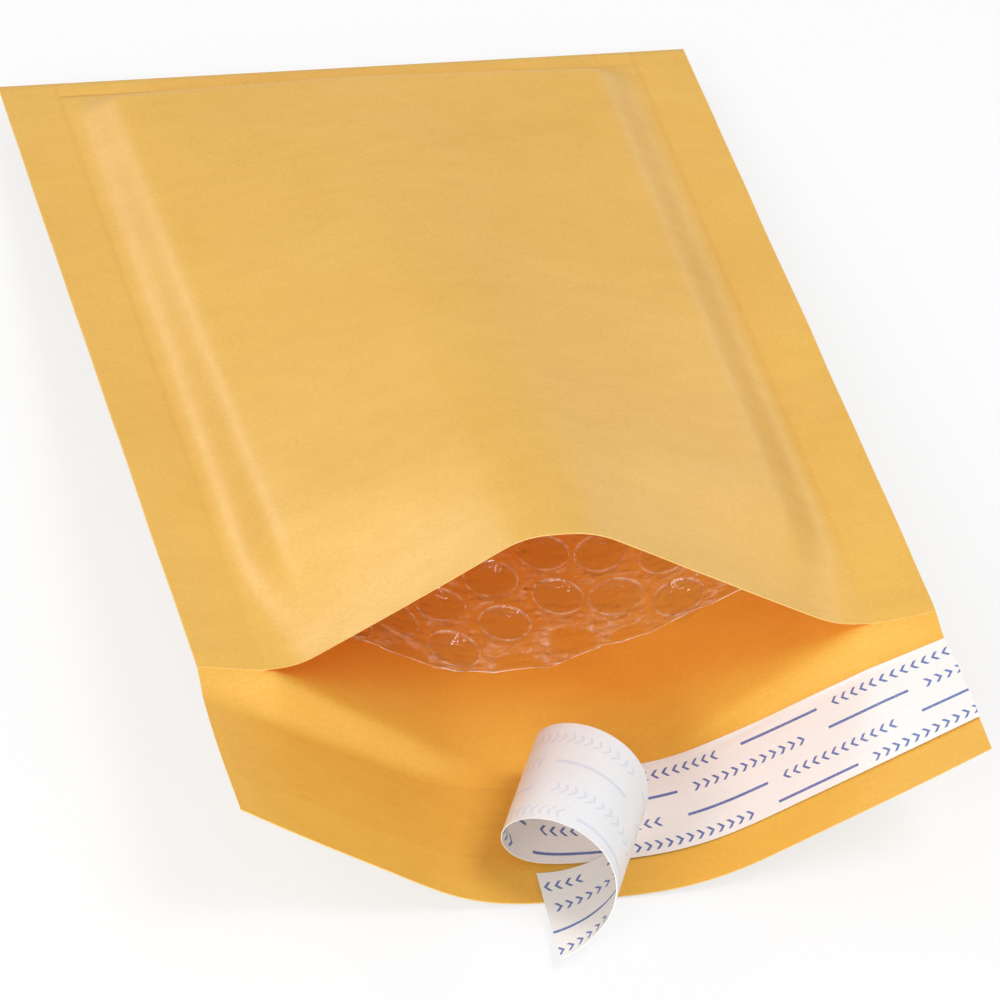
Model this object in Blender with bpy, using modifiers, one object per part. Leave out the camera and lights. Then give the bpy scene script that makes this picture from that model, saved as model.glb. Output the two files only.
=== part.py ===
"""A padded mailing envelope, lying open on a table.

One sheet of kraft paper is folded at the closed end and bonded along both sides. The back
panel runs on past the mouth as the flap. A folded web of bubble film lines the pouch, with
its bubbles towards the paper. A band of adhesive runs across the flap, and the release
liner is half peeled off it, curled up in one turn of a helix.

Lengths are in metres. X runs across the envelope, Y from the mouth to the closed end and
Z up from the table.
"""
import math

import bmesh
import bpy
import numpy as np
from mathutils import Vector

# Kraft sheet, as it was laid flat
WIDTH = 0.1524
LENGTH = 0.2286
FLAP = 0.0420
PAPER = 0.0004
SIDE_SEAM = 0.0125
END_SEAM = 0.0065

# How the pouch stands open: heights above and below its side seams
SEAM_REST = 0.0046
SEAM_RISE = 0.0200
SEAM_TILT = math.radians(9.0)
FLAP_EDGE_HEIGHT = 0.0280
FLAP_SETTLE = 0.0080
FLAP_LIFT = 0.0004
PAD_HEIGHT = 0.0044
MOUTH_HEIGHT = 0.0240
PAD_RUN = 0.0130
END_RUN = 0.0110
PAD_FADE = 0.0400
CROWN_SHIFT = -0.05
FLAP_CROWN_SHIFT = -0.06
FOOT_WIDTH = 0.0120
FRONT_CROWN = 0.20
BACK_CROWN = 0.26
BACK_FOOT = 0.05
FLAP_LEVEL = 0.04
FLAP_CROWN = 0.44

# Flat stretch of the back panel that lies on the table, half its width
REST_HALF_WIDTH = 0.0090

# Bubble film
BUBBLE_PITCH = 0.0136
BUBBLE_RADIUS = 0.0053
BUBBLE_TOP_RADIUS = 0.0039
BUBBLE_HEIGHT = 0.0031
FILM = 0.0004
LINING_SETBACK = 0.0209
LINING_SIDE_GAP = 0.0055
LINING_END_GAP = 0.0065
FOLD_DEPTH = 0.0012
FOLD_ROWS = 2
LINING_CLEARANCE = 0.0007

# Adhesive and release liner on the flap
STRIP_SETBACK = 0.0068
STRIP_WIDTH = 0.0256
LINER = 0.0003
ADHESIVE = 0.0002
ADHESIVE_INSET = 0.0025
PEELED_LENGTH = 0.0792
PEEL_SKEW = math.radians(23.5)
CURL_RADIUS = 0.0087
CURL_FLATNESS = 0.36
CURL_LEAN = math.radians(-21.0)
CURL_SLACK = 4.2
CURL_LEAD_IN = 0.0120
CURL_PITCH = math.radians(6.0)

# Clearance that parts which touch keep between them
GAP = 0.0003

PANEL_COLUMNS = 22
COLUMN_SPREAD = math.radians(55.0)
SEAM_COLUMNS = 1
PANEL_ROWS = 14
END_ROWS = 4
SETTLE_ROWS = 3
STRIP_COLUMNS = 16
STRIP_ROWS = 3
CURL_COLUMNS = 30
PROFILE_STEPS = 240
CURL_SAMPLED = 1.2 * PEELED_LENGTH
NORMAL_STEP = 0.0005
BUBBLE_CORNERS = np.radians([-120, -60, 0, 60, 120, 180])
HEX_COLUMN = math.cos(math.radians(30))
SHEET_SHARP = math.radians(35)
LINING_SHARP = math.radians(50)

COLLECTION = "padded_envelope"
KRAFT = (0.80, 0.49, 0.17, 1.0)
CLEAR_FILM = (0.86, 0.80, 0.72, 1.0)
ADHESIVE_TINT = (0.88, 0.70, 0.40, 1.0)
LINER_PAPER = (0.86, 0.85, 0.86, 1.0)

PANEL_HALF = WIDTH / 2 - SIDE_SEAM
END_Y = LENGTH / 2


def ease(x):
    """Smooth step from 0 to 1."""
    x = np.clip(x, 0.0, 1.0)
    return x * x * (3.0 - 2.0 * x)


def ridge(flat, crown, foot, shift=0.0):
    """Cross profile, 1 on the centre line and 0 at both edges, as a function of -1 to 1.

    It is level for the share flat, rounds off over crown, runs straight, and eases out
    over foot. shift moves the crown to one side.
    """
    reach = np.linspace(0.0, 1.0, PROFILE_STEPS)
    slope = ease((reach - flat) / crown)
    if foot > 0:
        slope = slope * ease((1.0 - reach) / foot)
    fall = np.concatenate([[0.0], np.cumsum((slope[1:] + slope[:-1]) / 2)])
    fall = fall / fall[-1]

    def profile(t):
        t = np.asarray(t, dtype=float)
        side = np.where(t < shift, (shift - t) / (1 + shift), (t - shift) / (1 - shift))
        return 1.0 - np.interp(side, reach, fall)
    return profile


def pad(u):
    """Share of the padding's height at u across the pouch: full but for a run at each seam."""
    return ease((PANEL_HALF - np.abs(u)) / PAD_RUN)


open_front = ridge(0.0, FRONT_CROWN, FOOT_WIDTH / PANEL_HALF, CROWN_SHIFT)
open_back = ridge(REST_HALF_WIDTH / PANEL_HALF, BACK_CROWN, BACK_FOOT)
open_flap = ridge(FLAP_LEVEL, FLAP_CROWN, 0.0, FLAP_CROWN_SHIFT)


def seam_height(v):
    """Height of the side seams at v from the closed end."""
    mouth = SEAM_REST + SEAM_RISE
    past = np.clip((v - LENGTH) / FLAP, 0.0, 1.0)
    return SEAM_REST + SEAM_RISE * min(v / LENGTH, 1.0) + (FLAP_EDGE_HEIGHT - mouth) * past


def end_share(v):
    """0 along the pressed end seam, 1 past the run where the pouch fills out."""
    return float(ease((v - END_SEAM) / END_RUN))


def pad_height(v):
    """Height of the padding at v; the last stretch before the mouth has no lining."""
    fade = 1.0 - float(ease((v - (LENGTH - PAD_FADE)) / PAD_FADE))
    return PAD_HEIGHT * fade * end_share(v)


def strip_rise(u, v):
    """Rise of the seam strips, which tip up towards their outer edges near the mouth."""
    tilt = SEAM_TILT * min(v / LENGTH, 1.0)
    return np.maximum(np.abs(u) - PANEL_HALF, 0.0) * math.sin(tilt)


def front_height(u, v):
    """Inner face of the front panel above the table."""
    opening = MOUTH_HEIGHT * (v / LENGTH) * end_share(v) - pad_height(v) * (v / LENGTH)
    rise = pad_height(v) * pad(u) + max(opening, 0.0) * open_front(u / PANEL_HALF)
    return seam_height(v) + strip_rise(u, v) + PAPER + rise


def pouch_back_height(u, v):
    """Outer face of the back panel above the table, within the pouch."""
    depth = seam_height(v) * end_share(v)
    padding = min(pad_height(v), depth)
    inside = np.abs(u) <= PANEL_HALF
    drop = padding * pad(u) + (depth - padding) * open_back(u / PANEL_HALF)
    return seam_height(v) + strip_rise(u, v) - np.where(inside, drop, 0.0)


def back_height(u, v):
    """Outer face of the back panel and the flap above the table."""
    u = np.asarray(u, dtype=float)
    if v <= LENGTH:
        return pouch_back_height(u, v)
    past = float(ease((v - LENGTH) / FLAP_SETTLE))
    lift = FLAP_LIFT * (v - LENGTH) / FLAP
    at_edge = seam_height(v) - (seam_height(v) - lift) * open_flap(u / (WIDTH / 2))
    return (1 - past) * pouch_back_height(u, LENGTH) + past * at_edge


def arc_positions(heights, half):
    """Places across the table of points that lie evenly spaced along a bent sheet."""
    step = 2 * half / (len(heights) - 1)
    run = np.sqrt(np.maximum(step * step - np.diff(heights) ** 2, 0.0))
    across = np.concatenate([[0.0], np.cumsum(run)])
    return across - across[-1] / 2


def mouth_half_chord():
    """Half the width between the seams at the mouth, drawn in by the raised front panel."""
    u = np.linspace(-PANEL_HALF, PANEL_HALF, PROFILE_STEPS)
    return arc_positions(front_height(u, LENGTH), PANEL_HALF)[-1]


MOUTH_HALF_CHORD = mouth_half_chord()


def half_chord(v):
    """Half the width between the side seams at v."""
    share = min(v / LENGTH, 1.0)
    return PANEL_HALF + (MOUTH_HALF_CHORD - PANEL_HALF) * share


def across(u, v, height, half, chord):
    """Place across the table of flat position u, with the sheet's own length kept."""
    sample = np.linspace(-half, half, PROFILE_STEPS)
    places = arc_positions(height(sample, v), half)
    if chord is not None:
        places = places * (chord / places[-1])
    return np.interp(u, sample, places)


def along(u, v, height):
    """Place along the table of flat position v; a line that climbs is drawn back."""
    climb = height(u, v) - SEAM_REST
    return END_Y - np.sqrt(np.maximum(v * v - climb ** 2, 0.0))


def strip_across(u, v, height):
    """Place across the table within the pouch: seam strips stay flat outside the chord."""
    inner = across(np.clip(u, -PANEL_HALF, PANEL_HALF), v, height, PANEL_HALF, half_chord(v))
    outside = np.maximum(np.abs(u) - PANEL_HALF, 0.0)
    return inner + np.sign(u) * outside * math.cos(SEAM_TILT * min(v / LENGTH, 1.0))


def front_point(u, v):
    """Point on the inner face of the front panel."""
    u = np.atleast_1d(np.asarray(u, dtype=float))
    x = strip_across(u, v, front_height)
    return np.stack([x, along(u, v, front_height), front_height(u, v)], axis=1)


def back_point(u, v):
    """Point on the outer face of the back panel or the flap."""
    u = np.atleast_1d(np.asarray(u, dtype=float))
    x = strip_across(u, min(v, LENGTH), pouch_back_height)
    if v > LENGTH:
        past = float(ease((v - LENGTH) / FLAP))
        x_edge = across(u, v, back_height, WIDTH / 2, None)
        x = (1 - past) * x + past * x_edge
    return np.stack([x, along(u, v, back_height), back_height(u, v)], axis=1)


def flap_top(u, v):
    """Point on the upper face of the flap."""
    return back_point(u, v)[0] + np.array([0.0, 0.0, PAPER])


def material(name, colour, roughness, alpha=1.0):
    made = bpy.data.materials.new(name)
    made.use_nodes = True
    surface = made.node_tree.nodes["Principled BSDF"]
    surface.inputs["Base Color"].default_value = colour
    surface.inputs["Roughness"].default_value = roughness
    surface.inputs["Metallic"].default_value = 0.0
    surface.inputs["Alpha"].default_value = alpha
    return made


def finish(name, bm, collection, surface, sharp_angle=SHEET_SHARP):
    """Make the mesh an object of the model."""
    bmesh.ops.recalc_face_normals(bm, faces=bm.faces)
    mesh = bpy.data.meshes.new(name)
    bm.to_mesh(mesh)
    bm.free()
    mesh.shade_smooth()
    mesh.set_sharp_from_angle(angle=sharp_angle)
    mesh.materials.append(surface)
    made = bpy.data.objects.new(name, mesh)
    collection.objects.link(made)
    return made


def vertex_row(bm, points):
    return [bm.verts.new(Vector(point)) for point in points]


def loft(bm, rows):
    """Faces between rows of vertices that run side by side."""
    for low, high in zip(rows[:-1], rows[1:]):
        for i in range(len(low) - 1):
            corners = [low[i], low[i + 1], high[i + 1], high[i]]
            distinct = list(dict.fromkeys(corners))
            if len(distinct) > 2:
                bm.faces.new(distinct)


def columns():
    """Flat places across the sheet: both seam strips and the panel between them."""
    spread = np.sin(np.linspace(-1, 1, PANEL_COLUMNS + 1) * COLUMN_SPREAD)
    panel = spread / spread[-1] * PANEL_HALF
    strip = np.linspace(PANEL_HALF, WIDTH / 2, SEAM_COLUMNS + 1)[1:]
    return np.concatenate([-strip[::-1], panel, strip])


def pouch_rows():
    """Flat places along the pouch, closer where it fills out from the end seam."""
    run = np.linspace(END_SEAM, END_SEAM + END_RUN, END_ROWS + 1)
    rest = np.linspace(END_SEAM + END_RUN, LENGTH, PANEL_ROWS + 1)[1:]
    return np.concatenate([[0.0, END_SEAM / 2], run, rest])


def strip_rows():
    """Places across the liner's width: its edges, the adhesive's edges and what lies between."""
    between = np.linspace(ADHESIVE_INSET, STRIP_WIDTH - ADHESIVE_INSET, STRIP_ROWS + 1)
    return np.concatenate([[0.0], between, [STRIP_WIDTH]])


def flap_rows():
    """Flat places along the flap past the mouth, in step with the strips that lie on it."""
    settle = np.linspace(0.0, STRIP_SETBACK, SETTLE_ROWS + 1)[1:-1]
    return LENGTH + np.concatenate([settle, STRIP_SETBACK + strip_rows(), [FLAP]])


def kraft_envelope(collection):
    """The folded sheet: front panel, back panel and flap, bonded down both sides."""
    bm = bmesh.new()
    across_sheet = columns()
    first = SEAM_COLUMNS
    last = len(across_sheet) - 1 - SEAM_COLUMNS
    inside = across_sheet[first:last + 1]
    lift = np.array([0.0, 0.0, PAPER])
    pouch = pouch_rows()
    beyond = flap_rows()
    end_row = int(np.argmin(np.abs(pouch - END_SEAM)))

    outer_front = [vertex_row(bm, front_point(across_sheet, v) + lift) for v in pouch]
    outer_back = [vertex_row(bm, back_point(across_sheet, v)) for v in [*pouch, *beyond]]
    inner_back = [vertex_row(bm, back_point(inside, v) + lift) for v in pouch[end_row:]]
    inner_front = []
    for k, v in enumerate(pouch[end_row:]):
        shared = inner_back[k]
        if k == 0:
            inner_front.append(shared)
            continue
        made = vertex_row(bm, front_point(inside[1:-1], v))
        inner_front.append([shared[0], *made, shared[-1]])

    mouth_left = vertex_row(bm, back_point(across_sheet[:first], LENGTH) + lift)
    mouth_right = vertex_row(bm, back_point(across_sheet[last + 1:], LENGTH) + lift)
    mouth_sheet = [*mouth_left, *inner_back[-1], *mouth_right]
    flap_upper = [mouth_sheet]
    flap_upper += [vertex_row(bm, back_point(across_sheet, v) + lift) for v in beyond]
    mouth_lip = [*mouth_left, *inner_front[-1], *mouth_right]

    loft(bm, outer_front)
    loft(bm, outer_back)
    loft(bm, inner_front)
    loft(bm, inner_back)
    loft(bm, flap_upper)
    loft(bm, [outer_front[-1], mouth_lip])
    loft(bm, [outer_front[0], outer_back[0]])
    loft(bm, [flap_upper[-1], outer_back[-1]])
    mouth = len(pouch) - 1
    for side in (0, -1):
        front_edge = [row[side] for row in outer_front]
        back_edge = [row[side] for row in outer_back]
        upper_edge = [row[side] for row in flap_upper]
        loft(bm, [front_edge[:mouth], back_edge[:mouth]])
        bm.faces.new([front_edge[mouth - 1], front_edge[mouth], upper_edge[0],
                      back_edge[mouth], back_edge[mouth - 1]])
        loft(bm, [upper_edge, back_edge[mouth:]])
    return finish("kraft_envelope", bm, collection, material("kraft_paper", KRAFT, roughness=0.75))


def back_inner(u, v):
    return back_point(u, v)[0] + np.array([0.0, 0.0, PAPER])


def front_inner(u, v):
    return front_point(u, v)[0]


def inward(face, u, v, towards):
    """Unit normal of a panel's inner face, pointing into the pouch."""
    side = face(u + NORMAL_STEP, v) - face(u - NORMAL_STEP, v)
    run = face(u, v + NORMAL_STEP) - face(u, v - NORMAL_STEP)
    normal = np.cross(side, run)
    normal = normal / np.linalg.norm(normal)
    return normal if normal[2] * towards > 0 else -normal


def room(u, v):
    """Half the clear height of the pouch at u, v."""
    return float(front_height(u, v) - pouch_back_height(u, v) - PAPER) / 2


def lining_point(face, towards, u, v, depth):
    """Point of the lining at a depth from the bubbles' tops, crushed where the pouch is low."""
    spare = room(u, v) - LINING_CLEARANCE - GAP
    share = min(1.0, spare / (BUBBLE_HEIGHT + FILM))
    return face(u, v) + inward(face, u, v, towards) * (LINING_CLEARANCE + depth * share)


def lining_columns():
    """Number of bubble columns between the seams, and their spacing."""
    half = PANEL_HALF - LINING_SIDE_GAP
    count = int(round(2 * half / (BUBBLE_PITCH * HEX_COLUMN)))
    return count, 2 * half / count


def bubble_lining(collection):
    """One folded web of bubble film, its bubbles towards the paper."""
    bm = bmesh.new()
    count, spacing = lining_columns()
    start = LENGTH - LINING_SETBACK
    stop = END_SEAM + LINING_END_GAP
    cells = int((start - stop) / BUBBLE_PITCH)
    pitch = (start - stop) / cells
    half_rows = 2 * cells
    left = -count * spacing / 2
    base = BUBBLE_HEIGHT
    made = {}

    def web_point(u, row, depth):
        """row counts half pitches from the back web's mouth edge, round the fold."""
        if row <= half_rows:
            return lining_point(back_inner, 1, u, start - row * pitch / 2, depth)
        if row >= half_rows + FOLD_ROWS:
            v = stop + (row - half_rows - FOLD_ROWS) * pitch / 2
            return lining_point(front_inner, -1, u, v, depth)
        share = (row - half_rows) / FOLD_ROWS
        low = lining_point(back_inner, 1, u, stop, depth)
        high = lining_point(front_inner, -1, u, stop, depth)
        bulge = FOLD_DEPTH + (base - depth)
        return low + (high - low) * share + np.array([0, bulge * math.sin(math.pi * share), 0])

    def grid_vertex(column, row, depth, layer):
        key = (layer, column, row)
        if key not in made:
            made[key] = bm.verts.new(web_point(left + column * spacing, row, depth))
        return made[key]

    def outer(column, row):
        return grid_vertex(column, row, base, "outer")

    def inner(column, row):
        return grid_vertex(column, row, base + FILM, "inner")

    def bubble(column, row):
        """A bubble in the cell whose middle is at this row, and the film round it."""
        u = left + (column + 0.5) * spacing
        rim = [outer(column, row - 1), outer(column + 1, row - 1), outer(column + 1, row),
               outer(column + 1, row + 1), outer(column, row + 1), outer(column, row)]
        foot = [bubble_vertex(u, row, BUBBLE_RADIUS, a, base) for a in BUBBLE_CORNERS]
        top = [bubble_vertex(u, row, BUBBLE_TOP_RADIUS, a, 0.0) for a in BUBBLE_CORNERS]
        loft(bm, [[*rim, rim[0]], [*foot, foot[0]], [*top, top[0]]])
        bm.faces.new(top)

    def bubble_vertex(u, middle, radius, angle, depth):
        row = middle + radius * math.sin(angle) / (pitch / 2)
        return bm.verts.new(web_point(u + radius * math.cos(angle), row, depth))

    total = 2 * half_rows + FOLD_ROWS
    for column in range(count):
        row = 0
        stagger = (column + 1) % 2
        while row < total:
            on_web = row + 2 <= half_rows or row >= half_rows + FOLD_ROWS
            turn = row < half_rows < row + 2
            whole = on_web and not turn and row + 2 <= total
            web_row = row if row < half_rows else row - half_rows - FOLD_ROWS
            if whole and (web_row - stagger) % 2 == 0:
                bubble(column, row + 1)
                row += 2
                continue
            bm.faces.new([outer(column, row), outer(column + 1, row),
                          outer(column + 1, row + 1), outer(column, row + 1)])
            row += 1
    inner_rows = [[inner(c, r) for c in range(count + 1)] for r in range(total + 1)]
    loft(bm, inner_rows)
    for row in (0, total):
        loft(bm, [[outer(c, row) for c in range(count + 1)], inner_rows[row]])
    for column in (0, count):
        edge = [outer(column, r) for r in range(total + 1)]
        loft(bm, [edge, [row[column] for row in inner_rows]])
    film = material("clear_film", CLEAR_FILM, roughness=0.15, alpha=0.6)
    return finish("bubble_lining", bm, collection, film, sharp_angle=LINING_SHARP)


def sheet_solid(name, rows, thickness, collection, surface):
    """A thin sheet: an open surface, thickened upwards."""
    bm = bmesh.new()
    loft(bm, [vertex_row(bm, row) for row in rows])
    bmesh.ops.recalc_face_normals(bm, faces=bm.faces)
    bm.faces.ensure_lookup_table()
    if bm.faces[0].normal.z < 0:
        bmesh.ops.reverse_faces(bm, faces=bm.faces)
    mesh = bpy.data.meshes.new(name)
    bm.to_mesh(mesh)
    bm.free()
    mesh.shade_smooth()
    mesh.materials.append(surface)
    made = bpy.data.objects.new(name, mesh)
    collection.objects.link(made)
    wall = made.modifiers.new("wall", "SOLIDIFY")
    wall.thickness = thickness
    wall.offset = 1.0
    return made


def on_flap(u, w, height):
    """Point at a height over the flap's upper face, w past the mouth."""
    return flap_top(u, LENGTH + w) + np.array([0.0, 0.0, height])


def adhesive_strip(collection):
    """The band of adhesive across the flap."""
    half = WIDTH / 2 - ADHESIVE_INSET
    sheet = columns()
    places = [-half, *sheet[np.abs(sheet) < half], half]
    rows = [[on_flap(u, STRIP_SETBACK + b, GAP) for u in places] for b in strip_rows()[1:-1]]
    glue = material("adhesive", ADHESIVE_TINT, roughness=0.3)
    return sheet_solid("adhesive_strip", rows, ADHESIVE, collection, glue)


def curl_profile():
    """Run and rise of the peeled liner, square to its rulings, against its own length.

    The bend is least where the liner lies level, so the curl sags flat, and it eases
    along the length, as a strip does that has lost part of its curl.
    """
    step = CURL_SAMPLED / PROFILE_STEPS
    length, run, rise, heading = [0.0], [0.0], [0.0], 0.0
    for i in range(PROFILE_STEPS):
        reach = (i + 0.5) * step
        bend = (1 - CURL_FLATNESS * math.cos(2 * (heading - CURL_LEAN))) / CURL_RADIUS
        bend *= float(ease(reach / CURL_LEAD_IN)) * (1 - CURL_SLACK * reach)
        heading += bend * step
        length.append(length[-1] + step)
        run.append(run[-1] + math.cos(heading) * step)
        rise.append(rise[-1] + math.sin(heading) * step)
    return length, run, rise


def release_liner(collection):
    """The liner: stuck down from one end, peeled and curled in a helix at the other.

    Its flat coordinates are a, from the flap's right edge towards the left, and b, across
    the strip towards the flap's free edge. It bends about rulings that lean by the skew.
    """
    clear = GAP + ADHESIVE + GAP
    cos_skew = math.cos(PEEL_SKEW)
    sin_skew = math.sin(PEEL_SKEW)
    peel_middle = WIDTH - PEELED_LENGTH
    forward = Vector((-cos_skew, sin_skew, 0.0))
    ruling = Vector((-sin_skew, -cos_skew, math.tan(CURL_PITCH))).normalized()
    upward = forward.cross(ruling)
    lengths, run, rise = curl_profile()
    rows = []
    for b in strip_rows():
        w = STRIP_SETBACK + b
        peel = peel_middle + (b - STRIP_WIDTH / 2) * math.tan(PEEL_SKEW)
        row = []
        for a in np.linspace(0.0, peel, STRIP_COLUMNS + 1)[:-1]:
            row.append(Vector(on_flap(WIDTH / 2 - a, w, clear)))
        start = Vector(on_flap(WIDTH / 2 - peel, w, clear))
        for a in np.linspace(peel, WIDTH, CURL_COLUMNS + 1):
            bent = (a - peel) * cos_skew
            slide = (a - peel) * sin_skew
            row.append(start + ruling * slide + forward * float(np.interp(bent, lengths, run))
                       + upward * float(np.interp(bent, lengths, rise)))
        rows.append(row)
    paper = material("liner_paper", LINER_PAPER, roughness=0.45)
    return sheet_solid("release_liner", rows, LINER, collection, paper)


def centre_on_base(objects):
    """Put the origin at the middle of the model's box, on the table."""
    bpy.context.view_layer.update()
    depsgraph = bpy.context.evaluated_depsgraph_get()
    corners = []
    for item in objects:
        corners += [Vector(corner) for corner in item.evaluated_get(depsgraph).bound_box]
    low = [min(corner[axis] for corner in corners) for axis in range(3)]
    high = [max(corner[axis] for corner in corners) for axis in range(3)]
    middle = Vector(((low[0] + high[0]) / 2, (low[1] + high[1]) / 2, low[2]))
    for item in objects:
        for vertex in item.data.vertices:
            vertex.co -= middle
        item.data.update()


def main():
    for old in list(bpy.data.objects):
        bpy.data.objects.remove(old, do_unlink=True)
    collection = bpy.data.collections.new(COLLECTION)
    bpy.context.scene.collection.children.link(collection)
    centre_on_base([kraft_envelope(collection), bubble_lining(collection),
                    adhesive_strip(collection), release_liner(collection)])


main()
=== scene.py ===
"""Looks of a padded mailing envelope that lies open on a table.

Lengths are in metres. X runs across the envelope, Y from the mouth to the closed end and
Z up from the table. A place on the kraft sheet is given as it was before folding: u across
and v along from the closed end.
"""
import math

import bmesh
import bpy
import numpy as np
from mathutils import Matrix, Vector, noise


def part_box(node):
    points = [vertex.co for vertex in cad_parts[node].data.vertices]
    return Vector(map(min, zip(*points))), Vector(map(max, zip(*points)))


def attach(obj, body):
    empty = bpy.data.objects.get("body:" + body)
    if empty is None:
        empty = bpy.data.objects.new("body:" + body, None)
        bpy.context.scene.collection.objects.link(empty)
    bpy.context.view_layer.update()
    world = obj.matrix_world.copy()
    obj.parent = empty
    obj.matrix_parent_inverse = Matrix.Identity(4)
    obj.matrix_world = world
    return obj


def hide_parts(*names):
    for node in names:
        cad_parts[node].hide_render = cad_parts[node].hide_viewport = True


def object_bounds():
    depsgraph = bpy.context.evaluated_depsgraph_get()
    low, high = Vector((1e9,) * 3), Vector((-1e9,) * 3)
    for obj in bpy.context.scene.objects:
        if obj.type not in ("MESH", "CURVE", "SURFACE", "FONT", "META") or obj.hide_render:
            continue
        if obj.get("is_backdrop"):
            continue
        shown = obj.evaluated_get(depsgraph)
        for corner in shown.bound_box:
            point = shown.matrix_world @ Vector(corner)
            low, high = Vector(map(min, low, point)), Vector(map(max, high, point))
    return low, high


# Kraft sheet, as it was laid flat
WIDTH = 0.1524
LENGTH = 0.2286
FLAP = 0.0420
PLY = 0.0004
PAPER = 0.00028
SIDE_SEAM = 0.0125
END_SEAM = 0.0065

# How the pouch stands open
SEAM_REST = 0.0046
SEAM_RISE = 0.0200
SEAM_TILT = math.radians(9.0)
FLAP_EDGE_HEIGHT = 0.0280
FLAP_SETTLE = 0.0080
FLAP_LIFT = 0.0004
PAD_HEIGHT = 0.0044
MOUTH_HEIGHT = 0.0240
PAD_RUN = 0.0130
END_RUN = 0.0110
PAD_FADE = 0.0400
CROWN_SHIFT = -0.05
FLAP_CROWN_SHIFT = -0.06
FOOT_WIDTH = 0.0120
FRONT_CROWN = 0.20
BACK_CROWN = 0.26
BACK_FOOT = 0.05
FLAP_LEVEL = 0.04
FLAP_CROWN = 0.44
REST_HALF_WIDTH = 0.0090

# Dents, pressed lines and wrinkles that the sheet departs from its smooth shape by
SEAM_SWAY = 0.00055
DENT = 0.00022
FINE_DENT = 0.00007
BACK_DENT = 0.00016
DENT_FADE = 0.0120
SEAM_PRESS = 0.00012
END_PRESS = 0.00022
WRINKLE = 0.00017
WRINKLE_PITCH = 0.0044
WRINKLED = (0.036, 0.0035)
WRINKLED_REACH = (0.017, 0.0055)
FOLD_BULGE = 0.0005
FOLD_RUN = 0.0004
NOTCH = 0.0004

# Bubble film
BUBBLE_PITCH = 0.0136
BUBBLE_RADIUS = 0.0053
BUBBLE_HEIGHT = 0.0031
FILM_ROOM = 0.0004
FILM = 0.00014
LINING_SETBACK = 0.0209
LINING_SIDE_GAP = 0.0055
LINING_END_GAP = 0.0065
FOLD_DEPTH = 0.0012
LINING_CLEARANCE = 0.0007
FILM_CREASE = 0.00026
FILM_DIP = 0.0002

# The film's cut: set back from the mouth, further on the right, and a little ragged
CUT_SETBACK = 0.0198
CUT_SLANT = 0.0052
CUT_WANDER = 0.0006
CUT_WIDTH = 0.0003
CUT_LIFT = 0.0005

# The bubbles drift from their even rows
ROW_SHIFT = 0.0018
ROW_DROP = 0.0045

# Adhesive and release liner
STRIP_SETBACK = 0.0068
STRIP_WIDTH = 0.0256
LINER = 0.00018
ADHESIVE = 0.00014
ADHESIVE_INSET = 0.0025
ADHESIVE_POOL = 0.00003
ADHESIVE_CLEARANCE = 0.00002
PEELED_LENGTH = 0.0792
PEEL_SKEW = math.radians(23.5)
CURL_RADIUS = 0.0087
CURL_FLATNESS = 0.36
CURL_LEAN = math.radians(-21.0)
CURL_SLACK = 4.2
CURL_LEAD_IN = 0.0120
CURL_PITCH = math.radians(6.0)
GAP = 0.0003
LINER_CLEARANCE = 0.00022

# Fineness of the meshes
PROFILE_STEPS = 240
PANEL_COLUMNS = 84
STRIP_COLUMNS = 5
COLUMN_SPREAD = math.radians(55.0)
POUCH_STEP = 0.0021
FLAP_STEP = 0.0011
FILM_STEP = 0.0013
DEEP_FILM_STEP = 0.0030
FINE_FILM_REACH = 0.0800
LINER_STEP = 0.0007
SHEET_SHARP = math.radians(40.0)
FILM_SHARP = math.radians(70.0)

# The sheets are drawn on their maps at one unit for this length
MAP_SPAN = 0.5
MAP_MIDDLE = 0.125

# Marks on the liner, in millimetres
MARK_ROWS = (3.9, 10.1, 17.1, 23.2)
MARK_HEIGHT = 2.5
MARK_STROKE = 0.62
MARK_PITCH = 2.0
MARK_RUN = 48.0

# Colours
KRAFT_LIGHT = (0.870, 0.512, 0.098, 1.0)
KRAFT_DARK = (0.745, 0.405, 0.056, 1.0)
INSIDE_LIGHT = (0.875, 0.495, 0.076, 1.0)
INSIDE_DARK = (0.780, 0.395, 0.046, 1.0)
KRAFT_FLECK = (0.520, 0.250, 0.040, 1.0)
# Cut edges: the paler colour of the cut fibres, made paler still as a painted highlight along
# the edges
KRAFT_CORE_AND_HIGHLIGHT = (0.880, 0.640, 0.270, 1.0)
KRAFT_GLOW = (0.800, 0.430, 0.140, 1.0)
# Painted shade: the colour of the shade that falls in the creases where the padding ends
KRAFT_CREASE_SHADE = (0.560, 0.260, 0.030, 1.0)
LINER_WHITE = (0.820, 0.825, 0.840, 1.0)
LINER_WARM = (0.905, 0.890, 0.868, 1.0)
INK_BLUE = (0.030, 0.095, 0.390, 1.0)
INK_THROUGH = (0.560, 0.590, 0.760, 1.0)

# A bubble from the crown of its inner face to that of its dome: radius and height against its
# own, and how milky the film is there
BUBBLE_SIDES = 20
BUBBLE_TURN = 0.5
INNER_CROWN = -0.15
BUBBLE_PROFILE = ((0.45, -0.135, 0.0), (0.80, -0.085, 0.0), (0.96, -0.025, 0.15),
                  (1.05, 0.0, 1.0), (1.03, 0.05, 0.8), (0.98, 0.22, 0.15),
                  (0.93, 0.55, 0.0), (0.82, 0.83, 0.0), (0.52, 0.97, 0.0))

# The camera, as the photograph was taken
CAMERA_AZIMUTH = math.radians(-14.599)
CAMERA_HEIGHT_ANGLE = math.radians(37.222)
CAMERA_ROLL = math.radians(4.883)
CAMERA_DISTANCE = 1.169
CAMERA_OFFSET = (0.011, -0.025)
CAMERA_AIM = (0.0, 0.02995, 0.0046)
SENSOR = 36.0
LENS = 5.743 * SENSOR

# Studio
ROOM_LIGHT = 0.50
FLOOR_RADIUS = 4.0
FLOOR_GAP = 0.00005
FLOOR_GLOW = 0.72

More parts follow.
